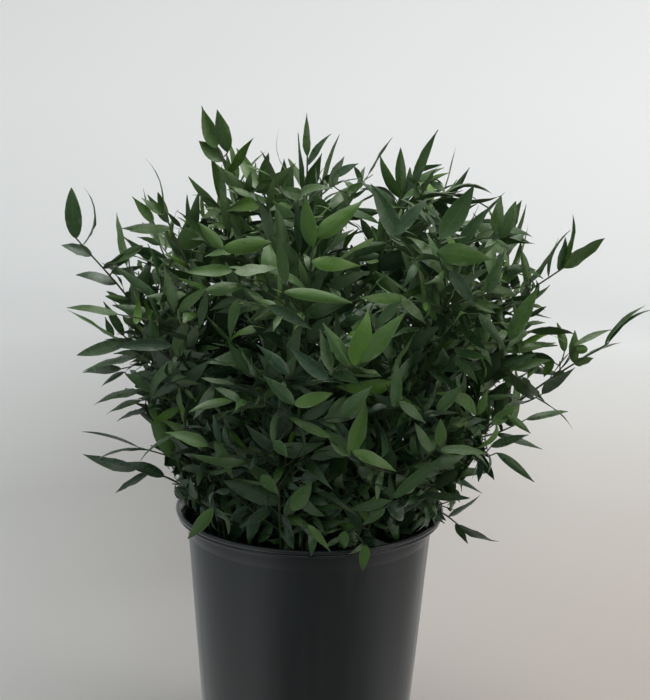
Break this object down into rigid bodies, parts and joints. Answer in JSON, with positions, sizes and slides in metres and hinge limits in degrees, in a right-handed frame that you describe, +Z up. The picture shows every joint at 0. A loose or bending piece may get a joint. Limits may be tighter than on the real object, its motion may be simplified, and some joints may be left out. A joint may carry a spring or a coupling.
{
  "type": "bucket of cut ruscus stems",
  "caption": "Round tapered flower bucket that holds a dense, domed bunch of long leafy ruscus stems.",
  "frame": {"origin": "centre of the bucket's base, on its underside", "axes": "+Z up through the bucket; the side seen in the picture faces -Y, and +X is to the right there"},
  "size_m": [0.5605, 0.475, 0.6919],
  "materials": {
    "black_plastic": "satin",
    "leaf_green": "waxy leaf, satin"
  },
  "bodies": {
    "root": {"bucket": "black_plastic", "stem_01": "leaf_green", "stem_02": "leaf_green", "stem_03": "leaf_green", "stem_04": "leaf_green", "stem_05": "leaf_green", "stem_06": "leaf_green", "stem_07": "leaf_green", "stem_08": "leaf_green", "stem_09": "leaf_green", "stem_10": "leaf_green", "stem_11": "leaf_green", "stem_12": "leaf_green", "stem_13": "leaf_green", "stem_14": "leaf_green", "stem_15": "leaf_green", "stem_16": "leaf_green", "stem_17": "leaf_green", "stem_18": "leaf_green", "stem_19": "leaf_green", "stem_20": "leaf_green", "stem_21": "leaf_green", "stem_22": "leaf_green", "stem_23": "leaf_green", "stem_24": "leaf_green", "stem_25": "leaf_green", "stem_26": "leaf_green", "stem_27": "leaf_green", "stem_28": "leaf_green", "stem_29": "leaf_green", "stem_30": "leaf_green", "stem_31": "leaf_green", "stem_32": "leaf_green", "stem_33": "leaf_green", "stem_34": "leaf_green", "stem_35": "leaf_green", "stem_36": "leaf_green", "stem_37": "leaf_green", "stem_38": "leaf_green", "stem_39": "leaf_green", "stem_40": "leaf_green", "stem_41": "leaf_green", "stem_42": "leaf_green", "stem_43": "leaf_green", "stem_44": "leaf_green", "stem_45": "leaf_green", "stem_46": "leaf_green", "stem_47": "leaf_green", "stem_48": "leaf_green", "stem_49": "leaf_green", "stem_50": "leaf_green"}
  },
  "joints": []
}
